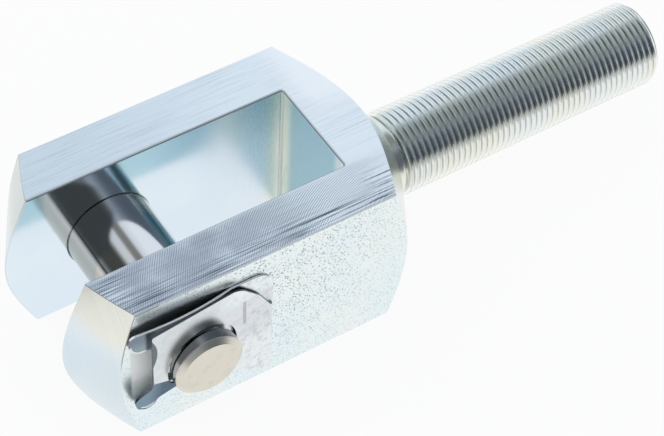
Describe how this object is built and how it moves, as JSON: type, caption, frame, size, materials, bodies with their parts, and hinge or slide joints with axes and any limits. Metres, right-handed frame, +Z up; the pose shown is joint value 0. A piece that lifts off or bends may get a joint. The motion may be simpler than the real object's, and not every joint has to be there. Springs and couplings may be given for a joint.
{
  "type": "clevis rod end",
  "caption": "Clevis rod end: a square slotted fork head on a long fine-threaded shank, with a pivot pin across its ears kept in by a folded spring clip.",
  "frame": {"origin": "where the axis of the pivot pin crosses the long axis of the fork, midway between the ears", "axes": "+X along the threaded shank, away from the fork's open end; Y along the pivot pin, with the clip on the ear at -Y; +Z up, out of the flat side of the head"},
  "size_m": [0.1568, 0.0601, 0.04],
  "materials": {
    "zinc_steel": "bright zinc plated, milled and turned",
    "pin_steel": "turned and plated, satin",
    "spring_steel": "zinc plated spring strip"
  },
  "bodies": {
    "fork": {"fork": "zinc_steel"},
    "pin": {"pivot_pin": "pin_steel"},
    "clip": {"lock_clip": "spring_steel"}
  },
  "joints": [
    {"name": "pin_turn", "type": "hinge", "parent": "fork", "child": "pin", "pos_m": [0, 0, 0], "axis": [0, 1, 0], "continuous": true},
    {"name": "clip_swivel", "type": "hinge", "parent": "pin", "child": "clip", "pos_m": [0, -0.0263, 0], "axis": [0, 1, 0], "continuous": true}
  ]
}
